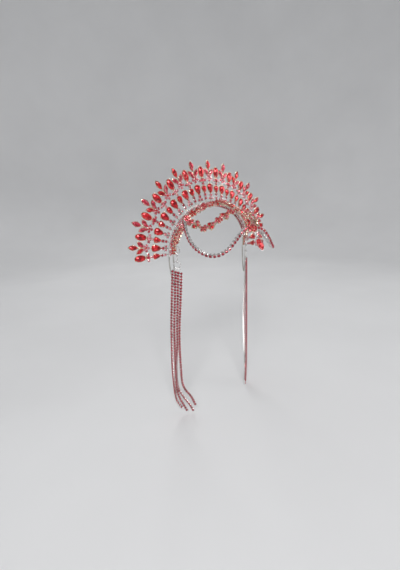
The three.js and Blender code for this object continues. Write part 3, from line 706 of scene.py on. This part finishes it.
def band_rail(build):
    """The silver strip behind the two rows."""
    points, faces = [], []
    size = len(BAND_SECTION)
    for i in range(BAND_STEPS + 1):
        angle = band_angle(i, BAND_STEPS)
        for across, height in BAND_SECTION:
            spot = band_point(angle) + band_outward(angle) * across + Vector((0, -height, 0))
            points.append(tuple(CROWN_PLANE @ spot))
    for i in range(BAND_STEPS):
        for k in range(size):
            a, b = i * size + k, i * size + (k + 1) % size
            faces.append((a, b, b + size, a + size))
    faces += [tuple(reversed(range(size))), tuple(BAND_STEPS * size + k for k in range(size))]
    build.add(points, faces, SILVER)


def band_row(build, across, size, mats):
    """One row of stones along the band, each of a colour drawn from mats."""
    angles = [band_angle(i, 199) for i in range(200)]
    line = [band_point(angle) + band_outward(angle) * across for angle in angles]
    number = round(route_length(line) / BAND_PITCH)
    stops = resample(line, number * 2)
    for i in range(number):
        middle = stops[2 * i + 1] + Vector((0, BAND_FRONT, 0))
        base = CROWN_PLANE @ frame_at(middle, stops[2 * i + 2] - stops[2 * i], (0, -1, 0))
        mat = build.rng.choice(mats) if len(mats) > 1 else mats[0]
        set_stone(build, base, bead(size, 1.5, 1.0, 10), mat, SILVER)


def end_cluster_frame(side):
    turn = math.radians(END_CLUSTER_TURN)
    face = placed(math.sin(turn), math.cos(turn), 0, side)
    return frame_at(placed(*END_CLUSTER, side), (0, 0, 1), face)


def band_piece():
    build = Build(7)
    band_rail(build)
    band_row(build, BAND_ROW, 3.8, (CLEAR, BLUSH, BLUSH, PINK))
    band_row(build, -BAND_ROW, 3.9, (DARK,))
    for side in (1, -1):
        base = CROWN_PLANE @ end_cluster_frame(side)
        for row in (-1.5, -0.5, 0.5, 1.5):
            for column in (-0.5, 0.5):
                stone = placed_in(base, row * END_CLUSTER_PITCH, column * END_CLUSTER_PITCH)
                set_stone(build, stone, END_STONE, RED)
    build.finish("band_jewels", "crown_band", slot="red_stones")


band_piece()


# The garland and its junctions

GARLAND_SPRIGS = (12.5, 16.5, 20.5, 24.5, 28.5, 32.5, 36.5, 57.5, 61.5, 65, 73.5, 77.5, 81.5, 85.5)
GARLAND_FLOWERS = ((52, 11, RED), (69, 10, PINK), (90, 10.4, PINK))   # degrees, size and petals
GARLAND_STEPS = 80
SPRIG_ASIDE = 1.4        # the leaves stand this far inward of the wire
SPRIG_SCALE = 1.08


def garland_piece():
    build = Build(11)
    span = math.pi - 2 * GARLAND_START
    wire = [garland_point(GARLAND_START + span * i / GARLAND_STEPS) for i in range(GARLAND_STEPS + 1)]
    tube(build, wire, 0.8, GOLD, 8)
    for degrees in GARLAND_SPRIGS:
        for angle, aside in ((degrees, -SPRIG_ASIDE), (180 - degrees, SPRIG_ASIDE)):
            base = placed_in(garland_frame(angle, build.rng.uniform(0, 0.5)), 0, aside)
            sprig(build, base @ Matrix.Scale(SPRIG_SCALE, 4), (PINK, RED, PINK, BLUSH))
    for degrees, size, mat in GARLAND_FLOWERS:
        for angle in ((degrees,) if degrees == 90 else (degrees, 180 - degrees)):
            flower(build, garland_frame(angle, 0.6), size, mat)
    build.finish("garland_jewels", "front_garland", slot="pink_stones")


garland_piece()


# The strip, the forehead cluster, the bail and the drop

GAP = 0.3
CLUSTER_RIM = 2.8        # from the ring of the cluster's stones to its edge
BAIL_WIRE = 0.6          # radius
EYE_WIRE = 0.55
STRIP_PITCH = 3.9
STRIP_MARQUISE = ("marquise", 9.6, 4.6, 2.0, 1.6, 14)
STRIP_LEAN = -13.5       # degrees that a stone turns for each mm aside
CLUSTER_PETAL = ("pear", 6.4, 5.0, 2.0, 1.4, 12)
CLUSTER_HEART = ("pear", 9.2, 6.6, 2.6, 2.0, 16)
BAIL_LOOP = (            # how far down it, and how far aside as a share of half its width
    (1, 0), (0.85, 0.8), (0.4, 1), (0.05, 0.7), (0, 0), (0.05, -0.7), (0.4, -1), (0.85, -0.8),
)


def strip_line():
    end = forehead_frame(*CLUSTER_PLACE) @ Vector((-(CLUSTER_REACH[0] + CLUSTER_RIM + GAP), 0, 0))
    start = placed(0, *STRIP_START)
    middle = placed(0, *STRIP_MIDDLE)
    pull = middle * 2 - (start + end) / 2
    shares = [i / 60 for i in range(61)]
    return [start * (1 - t) ** 2 + pull * (2 * t * (1 - t)) + end * t * t for t in shares]


def strip_piece():
    """Three wires with rows of beads: a marquise in each fifth row, and the outer beads lean out."""
    build = Build(13)
    line = strip_line()
    for across in (-3.2, 0, 3.2):
        tube(build, [p + Vector((across, 0, 0)) for p in line[::4]], 0.5, GOLD, 6)
    rows = round(route_length(line) / STRIP_PITCH)
    stops = resample(line, rows * 2)
    for i in range(rows):
        middle = stops[2 * i + 1]
        base = frame_at(middle, stops[2 * i + 2] - stops[2 * i], away_from_head(middle))
        if i % 5 == 2:
            set_stone(build, placed_in(base, 0, 0, 1.4), STRIP_MARQUISE, RED)
            places = ((-3.6, -0.4), (3.6, -0.4))
        elif i % 2:
            places = ((-3.4, 0.2), (0, 0.9), (3.4, 0.2))
        else:
            places = ((-3.5, -0.3), (-0.2, 0.7), (3.3, -0.1))
        for across, lift in places:
            if i % 5 in (1, 3) and abs(across) < 1:
                continue
            mat = build.rng.choice((PINK, PINK, RED, PINK, CLEAR))
            size = build.rng.uniform(3.3, 4.1)
            spot = placed_in(base, build.rng.uniform(-0.3, 0.3), across, 0.6 + lift)
            lean = Matrix.Rotation(math.radians(STRIP_LEAN * across), 4, "X")
            set_stone(build, spot @ lean, bead(size, 1.6, 1.2, 10), mat)
    build.finish("strip_jewels", "centre_strip", slot="pink_stones")


def cluster_piece():
    build = Build(17)
    base = forehead_frame(*CLUSTER_PLACE)
    for i in range(8):
        angle = math.radians(45 * i)
        x, y = CLUSTER_REACH[0] * math.cos(angle), CLUSTER_REACH[1] * math.sin(angle)
        petal = placed_in(base, x, y, 0, math.degrees(math.atan2(y, x)))
        set_stone(build, petal, CLUSTER_PETAL, PINK if i % 2 else RED)
    set_stone(build, placed_in(base, 0, 0, 0.9, 180), CLUSTER_HEART, RED)
    build.finish("cluster_jewels", "forehead_cluster", slot="red_stones")


def drop_piece():
    """The oval drop with an eye and a bead at its top, and the pinched bail that holds it."""
    build = Build(19)
    base = forehead_frame(*DROP_PLACE)
    length, width, depth = DROP_SIZE
    set_stone(build, base, ("oval", length, width, depth * 0.55, depth * 0.45, 24), RED, SILVER)
    eye = -(length / 2 + 0.9 + EYE_RADIUS)
    ring = [base @ Vector((eye + EYE_RADIUS * math.cos(a), EYE_RADIUS * math.sin(a), 0))
            for a in (2 * math.pi * k / 20 for k in range(21))]
    tube(build, ring, EYE_WIRE, SILVER, 8, closed=True)
    set_stone(build, placed_in(base, -length / 2 - 0.2, 0, 0.9), bead(3.0, 1.3, 1.2, 10), PINK, SILVER)
    build.finish("drop_jewel", "forehead_drop", slot="red_stones")
    bail = Build(23)
    low = base @ Vector((eye - (EYE_RADIUS - EYE_WIRE - BAIL_WIRE - GAP), 0, 0))
    reach = CLUSTER_REACH[0] + CLUSTER_RIM + GAP + BAIL_WIRE
    high = forehead_frame(*CLUSTER_PLACE) @ Vector((reach, 0, 0))
    loop = []
    for share, aside in BAIL_LOOP:
        p = high.lerp(low, share)
        loop.append(Vector((aside * 2, p.y, p.z)))
    tube(bail, smooth_route(loop, 32, closed=True), BAIL_WIRE, SILVER, 8, closed=True)
    bail.finish("bail_wire", "drop_bail", slot="silver_metal")


strip_piece()
cluster_piece()
drop_piece()


# What hangs at each side

JUNCTION_RIM = 5.5
CHAIN_STATIONS = 7
CHAIN_STEP = 100         # from one station to the next, in points along the chain
CHAIN_LEAD = 0.75        # the first station, as a share of a step
CHAIN_POINTS = 740
CHAIN_LAST = 730
CHAIN_LOOK = 5           # points on either side that give the chain's direction
SWAG_MIDDLE = (46, 72, 36)
SWAG_TURN = 1.15         # how much the stones turn outward from the middle of the curve
SWAG_STONE, SWAG_PITCH, SWAG_DEPTH = 5.0, 5.3, 4.2
HOOK_LIFT = 3.15         # where the hook starts, above the girdles of the end cluster
HOOK_START, HOOK_SWEEP = 115, 290   # degrees
HOOK_STEPS = 12
HOOK_WIRE = 0.78
LINK_EYES = ((1, 2.1, 2.15), (-1, 1.7, 1.9))   # up or down, in from the link's end, and radius
LINK_STEM = (4.2, 3.5)   # where the stem starts and ends, in from the link's ends
EYE_HEIGHT = 1.05        # as a share of the eye's width
LINK_EYE_WIRE = 0.5
TWIST_RADIUS, TWIST_TURN, TWIST_WIRE = 0.5, 9, 0.46   # the turn is in radians
COIL_RADIUS, COIL_RISE, COIL_WIRE = 0.95, 0.32, 0.33
RING_WIRE = 0.78
HAIR_WIRE = 0.95
HAIR_ASIDE, HAIR_FORWARD = 3.6, 0.6   # half the hair loop's width, and how far it bows
STRAND_STONE, STRAND_PITCH, STRAND_DEPTH = 4.3, 4.6, 2.1
STRAND_START = 1.0       # below the bar
TASSEL_HALF = 1.5        # half the tassel's width at the top, in pitches
HAIR_LOOP = (            # how far down, how far aside, and how far forward, as shares
    (0, 1, -0.6), (0.3, 1, -0.6), (0.85, 0.1, 0.8), (1, -0.39, 1),
    (0.85, -0.8, 0.8), (0.3, -1, -0.6), (0, -1, -0.6),
)


def junction_base(side):
    return garland_frame(JUNCTION_ANGLE if side < 0 else 180 - JUNCTION_ANGLE, JUNCTION_LIFT)


def junction_rim(side, along, aside, reach):
    share = (JUNCTION_RIM + GAP + reach) / math.hypot(along, aside)
    return junction_base(side) @ Vector((along * share, side * aside * share, 0))


def side_points(route, side):
    return [placed(*p, side) for p in route]


def swag_face(side):
    """The stones of a swag look out and away from the middle of its curve."""
    middle = placed(*SWAG_MIDDLE, side)

    def face(point, along):
        return away_from_head(point) + (point - middle).normalized() * SWAG_TURN
    return face


def outward_at(side):
    return placed(math.cos(math.radians(HOOK_TURN)), -math.sin(math.radians(HOOK_TURN)), 0, side)


def hang_frame(down, turn, side):
    spot = placed(*HOOK_MIDDLE, side) + Vector((0, 0, -down))
    spot += outward_at(side) * (down * math.tan(math.radians(HANG_LEAN)))
    return Matrix.Translation(spot) @ Matrix.Rotation(math.radians(turn) * side, 4, "Z")


def junction_piece(name, side):
    build = Build(31 + side)
    flower(build, placed_in(junction_base(side), 0, 0, 0, 20), 11, PINK, 6)
    build.finish(f"junction_{name}_jewels", f"junction_{name}", slot="red_stones")


def flower_chain_piece(name, side):
    """Flowers and leaves by turns on a wire, with a pale bead between one and the next."""
    build = Build(37 + side)
    start = placed(STRIP_WIDTH / 2 + GAP, *STRIP_MIDDLE, side)
    route = smooth_route([start, *side_points(CHAIN_ROUTE, side), junction_rim(side, -1, 1, 0.375)], 60)
    tube(build, route, 0.65, GOLD, 8)
    stops = resample(route, CHAIN_POINTS)
    for i in range(CHAIN_STATIONS):
        for shift in (0, CHAIN_STEP // 2):
            at = round((i + CHAIN_LEAD) * CHAIN_STEP) + shift
            if at > CHAIN_LAST:
                continue
            point = stops[at]
            ahead = stops[at + CHAIN_LOOK] - stops[at - CHAIN_LOOK]
            base = frame_at(point, ahead, away_from_head(point))
            if shift:
                size = build.rng.uniform(3.6, 4.3)
                set_stone(build, placed_in(base, 0, 0, 0.5), bead(size, 1.8, 1.3, 12), BLUSH)
            elif i % 2 == 0:
                flower(build, placed_in(base, 0, 0, 0.4, 30 * i), 11.6, PINK)
            else:
                sprig(build, placed_in(base, -0.6, 0, 0.2) @ Matrix.Scale(1.5, 4), (PINK, RED, RED))
    build.finish(f"flower_chain_{name}_jewels", f"flower_chain_{name}", slot="pink_stones")


def swag_piece(name, side):
    build = Build(41 + side)
    start = forehead_frame(*CLUSTER_PLACE) @ Vector((0, side * (CLUSTER_REACH[1] + CLUSTER_RIM + GAP), 0))
    route = smooth_route([start, *side_points(SWAG_ROUTE, side), junction_rim(side, -1, -0.2, 0)], 160)
    cup_chain(build, route, swag_face(side), SWAG_STONE, SWAG_PITCH, SWAG_DEPTH)
    build.finish(f"swag_{name}_chain", f"swag_{name}", slot="silver_metal")


def hook_piece(name, side):
    """An open hook that starts on the band's end cluster, and the arm behind it."""
    build = Build(43 + side)
    middle = placed(*HOOK_MIDDLE, side)
    across = -outward_at(side)
    cluster = end_cluster_frame(side)
    lead = Vector((END_CLUSTER_PITCH * 0.4, side * END_CLUSTER_PITCH * 0.5, HOOK_LIFT))
    points = [cluster @ lead]
    for i in range(HOOK_STEPS + 1):
        angle = math.radians(HOOK_START - i / HOOK_STEPS * HOOK_SWEEP)
        reach = across * (HOOK_ASIDE * math.cos(angle))
        points.append(middle + reach + Vector((0, 0, HOOK_REACH * math.sin(angle))))
    tube(build, smooth_route(points, 60), HOOK_WIRE, SILVER, 10)
    arm = ((4.2, -side * 1.2, 1.9), (7.5, side * 1.6, 3.2), (10.2, side * 4.6, 3.8))
    tube(build, smooth_route([cluster @ Vector(p) for p in arm], 14), 0.7, SILVER, 8)
    build.finish(f"hook_{name}_wire", f"hook_{name}", slot="silver_metal")


def ring_piece(name, side):
    build = Build(53 + side)
    base = hang_frame(RING_DOWN, HOOK_TURN, side)
    ring = [base @ Vector((RING_RADIUS * math.cos(a), 0, RING_RADIUS * math.sin(a)))
            for a in (2 * math.pi * k / 40 for k in range(41))]
    tube(build, ring, RING_WIRE, SILVER, 10, closed=True)
    build.finish(f"tassel_ring_{name}_wire", f"tassel_ring_{name}", slot="silver_metal")


def link_piece(name, side):
    """An eye on the hook, a twisted stem, and an eye on the ring."""
    build = Build(47 + side)
    base = hang_frame(LINK_DOWN, HOOK_TURN + 90, side)
    lean = outward_at(side) * -math.tan(math.radians(HANG_LEAN))

    def at(x, y, z):
        return base @ Vector((x, y, z)) + lean * z

    for sign, inward, reach in LINK_EYES:
        z = sign * (LINK_REACH - inward)
        eye = []
        for k in range(29):
            a = 2 * math.pi * k / 28
            x, rise = reach * math.cos(a), reach * math.sin(a) * EYE_HEIGHT
            eye.append(at(x, 0, z + rise))
        tube(build, eye, LINK_EYE_WIRE, SILVER, 8, closed=True)
    top, low = LINK_REACH - LINK_STEM[0], -LINK_REACH + LINK_STEM[1]
    for phase in (0, math.pi):
        strand = []
        for k in range(41):
            t = k / 40
            a = phase + TWIST_TURN * t
            x, y = TWIST_RADIUS * math.cos(a), TWIST_RADIUS * math.sin(a)
            strand.append(at(x, y, top + (low - top) * t))
        tube(build, strand, TWIST_WIRE, SILVER, 7)
    for z in (top - 0.2, low + 0.4):
        coil = []
        for k in range(29):
            a = math.pi * k / 8
            x, y = COIL_RADIUS * math.cos(a), COIL_RADIUS * math.sin(a)
            coil.append(at(x, y, z + COIL_RISE * a / math.pi - 0.5))
        tube(build, coil, COIL_WIRE, SILVER, 6)
    build.finish(f"link_{name}_wire", f"link_{name}", slot="silver_metal")


def tassel_piece(name, side):
    build = Build(59 + side)
    base = hang_frame(TASSEL_DOWN, HOOK_TURN, side)
    turned = base.to_3x3()
    for length, across, behind, twist in STRANDS:
        route = []
        for level, place in zip(STRAND_LEVELS, across):
            start = STRAND_START + TASSEL_STAGGER * (across[0] + TASSEL_HALF)
            down = max(level * length * TASSEL_LENGTH, start)
            depth = behind * TASSEL_PITCH * math.sin(level * math.pi)
            route.append(base @ Vector((-side * place * TASSEL_PITCH, depth, -down)))
        a = math.radians(twist)
        look = turned @ Vector((side * math.sin(a), -math.cos(a), 0))
        cup_chain(build, smooth_route(route, 240), lambda point, along: look,
                  STRAND_STONE, STRAND_PITCH, STRAND_DEPTH)
    half = TASSEL_HALF * TASSEL_PITCH
    bar = ((-1, -0.6), (-0.5, 0.1), (0, 0.35), (0.5, 0.1), (1, -0.6))
    tube(build, smooth_route([base @ Vector((x * half, 0, z)) for x, z in bar], 16), 0.5, SILVER, 8)
    build.finish(f"tassel_{name}_strands", f"tassel_{name}", slot="red_stones")


def hair_loop(name, side):
    build = Build(61 + side)
    end = band_point(BAND_START)
    below = GAP + BAND_THICKNESS * math.sin(math.radians(BAND_TILT))
    route = []
    for down, aside, forward in HAIR_LOOP:
        up = end.z - below - down * HAIR_LOOP_DROP
        route.append(placed(-end.x + aside * HAIR_ASIDE, forward * HAIR_FORWARD, up, side))
    tube(build, smooth_route(route, 70), HAIR_WIRE, WIRE, 10)
    build.finish(f"hair_loop_{name}_wire", f"hair_loop_{name}", slot="pale_wire")


for side_name, side_sign in SIDES:
    for piece in (junction_piece, flower_chain_piece, swag_piece, hook_piece, link_piece, ring_piece,
                  tassel_piece, hair_loop):
        piece(side_name, side_sign)


# The floor and the backdrop: one pale sweep all round

FLOOR = -0.272           # metres, as all sizes from here on
FLAT_RADIUS = 1.6
COVE_RADIUS = 0.9
WALL_TOP = 2.6
COVE_STEPS = 12
ROUND_STEPS = 96


def sweep():
    mat, nodes, links, bsdf = shader("studio_paper")
    cloud = noise_of(nodes, links, 3)
    ramp = ramp_of(nodes, ((0.3, (0.74, 0.74, 0.745)), (0.7, (0.78, 0.78, 0.785))))
    links.new(cloud.outputs["Fac"], ramp.inputs["Fac"])
    links.new(ramp.outputs["Color"], bsdf.inputs["Base Color"])
    bsdf.inputs["Roughness"].default_value = 0.9
    profile = [(FLAT_RADIUS, FLOOR)]
    for i in range(1, COVE_STEPS + 1):
        a = math.radians(i * 90 / COVE_STEPS)
        profile.append((FLAT_RADIUS + COVE_RADIUS * math.sin(a), FLOOR + COVE_RADIUS * (1 - math.cos(a))))
    profile.append((FLAT_RADIUS + COVE_RADIUS, WALL_TOP))
    count = ROUND_STEPS
    points = [(0, 0, FLOOR)]
    for radius, height in profile:
        for k in range(count):
            a = 2 * math.pi * k / count
            points.append((radius * math.cos(a), radius * math.sin(a), height))
    faces = [(0, 1 + k, 1 + (k + 1) % count) for k in range(count)]
    for tier in range(len(profile) - 1):
        a = 1 + tier * count
        for k in range(count):
            j = (k + 1) % count
            faces.append((a + k, a + count + k, a + count + j, a + j))
    mesh = bpy.data.meshes.new("sweep")
    mesh.from_pydata(points, [], faces)
    mesh.materials.append(mat)
    mesh.polygons.foreach_set("use_smooth", [True] * len(mesh.polygons))
    obj = bpy.data.objects.new("sweep", mesh)
    bpy.context.scene.collection.objects.link(obj)


sweep()


# Light

def area(name, place, aim, size, power):
    light = bpy.data.lights.new(name, "AREA")
    light.shape = "SQUARE"
    light.size = size
    light.energy = power
    obj = bpy.data.objects.new(name, light)
    obj.location = place
    obj.rotation_mode = "QUATERNION"
    obj.rotation_quaternion = (Vector(aim) - Vector(place)).to_track_quat("-Z", "Y")
    bpy.context.scene.collection.objects.link(obj)


area("key", (-1.1, -1.2, 1.3), (0, 0, 0), 0.6, 17)
area("fill", (1.4, -1.1, 0.7), (0, 0, 0), 0.9, 6)
area("back", (0.6, 1.4, 1.2), (0, 0, 0), 0.8, 8)
area("spark", (-0.5, -1.0, 0.35), (0, 0, 0.05), 0.1, 2.4)

world = bpy.data.worlds.new("studio")
world.use_nodes = True
world.node_tree.nodes["Background"].inputs["Color"].default_value = (0.86, 0.88, 0.9, 1)
world.node_tree.nodes["Background"].inputs["Strength"].default_value = 0.42
bpy.context.scene.world = world
bpy.context.scene.view_settings.view_transform = "Standard"


# The camera, at the photograph's angle

DISTANCE = 0.5
AZIMUTH = 39.14
ELEVATION = 7.5
ROLL = -2.0
YAW = -2.27              # how far the camera looks past the crown's origin, aside and in height
PITCH = 7.03
FOCAL_PX = 305.5
FRAME_PX = (400, 570)
SENSOR = 36.0


def toward_camera(azimuth, elevation):
    th, el = math.radians(azimuth), math.radians(elevation)
    return Vector((-math.sin(th) * math.cos(el), -math.cos(th) * math.cos(el), math.sin(el)))


def camera():
    data = bpy.data.cameras.new("camera")
    data.sensor_fit = "AUTO"
    data.sensor_width = SENSOR
    data.lens = FOCAL_PX / max(FRAME_PX) * SENSOR
    data.clip_start, data.clip_end = 0.01, 20
    back = toward_camera(AZIMUTH + YAW, ELEVATION + PITCH)
    th = math.radians(AZIMUTH + YAW)
    right = Vector((math.cos(th), -math.sin(th), 0))
    up = back.cross(right)
    ro = math.radians(ROLL)
    x = right * math.cos(ro) + up * math.sin(ro)
    y = up * math.cos(ro) - right * math.sin(ro)
    obj = bpy.data.objects.new("camera", data)
    spot = toward_camera(AZIMUTH, ELEVATION) * DISTANCE
    obj.matrix_world = Matrix((
        (x.x, y.x, back.x, spot.x), (x.y, y.y, back.y, spot.y), (x.z, y.z, back.z, spot.z), (0, 0, 0, 1)))
    bpy.context.scene.collection.objects.link(obj)
    bpy.context.scene.camera = obj


camera()
